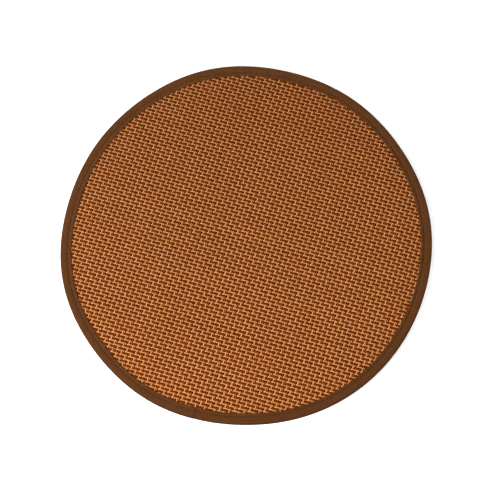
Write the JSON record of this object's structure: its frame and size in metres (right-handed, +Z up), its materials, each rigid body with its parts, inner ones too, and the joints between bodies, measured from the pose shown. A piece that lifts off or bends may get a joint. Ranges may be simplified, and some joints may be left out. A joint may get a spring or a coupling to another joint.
{
  "type": "chair seat pad",
  "caption": "Thin round chair seat pad with a twill face of light and dark woven strips, foam lining, cloth back and stitched folded edge binding.",
  "frame": {"origin": "centre of the pad's underside, on the surface it lies on", "axes": "+Z up through the thickness; weft strips of the face run along X and warp strips along Y"},
  "size_m": [0.4, 0.4, 0.0061],
  "materials": {
    "woven_strips": "flat split plant-fibre strips, dyed light tan and dark red-brown, satin",
    "foam": "soft open-cell foam sheet, matte",
    "backing_cloth": "plain woven cloth with small clear-brown grip dots, matte",
    "binding_tape": "finely woven brown cotton tape, matte",
    "sewing_thread": "brown polyester sewing thread, slight sheen"
  },
  "bodies": {
    "root": {"woven_face": "woven_strips", "foam_padding": "foam", "backing_cloth": "backing_cloth", "edge_binding": "binding_tape", "needle_thread": "sewing_thread", "bobbin_thread": "sewing_thread"}
  },
  "joints": []
}
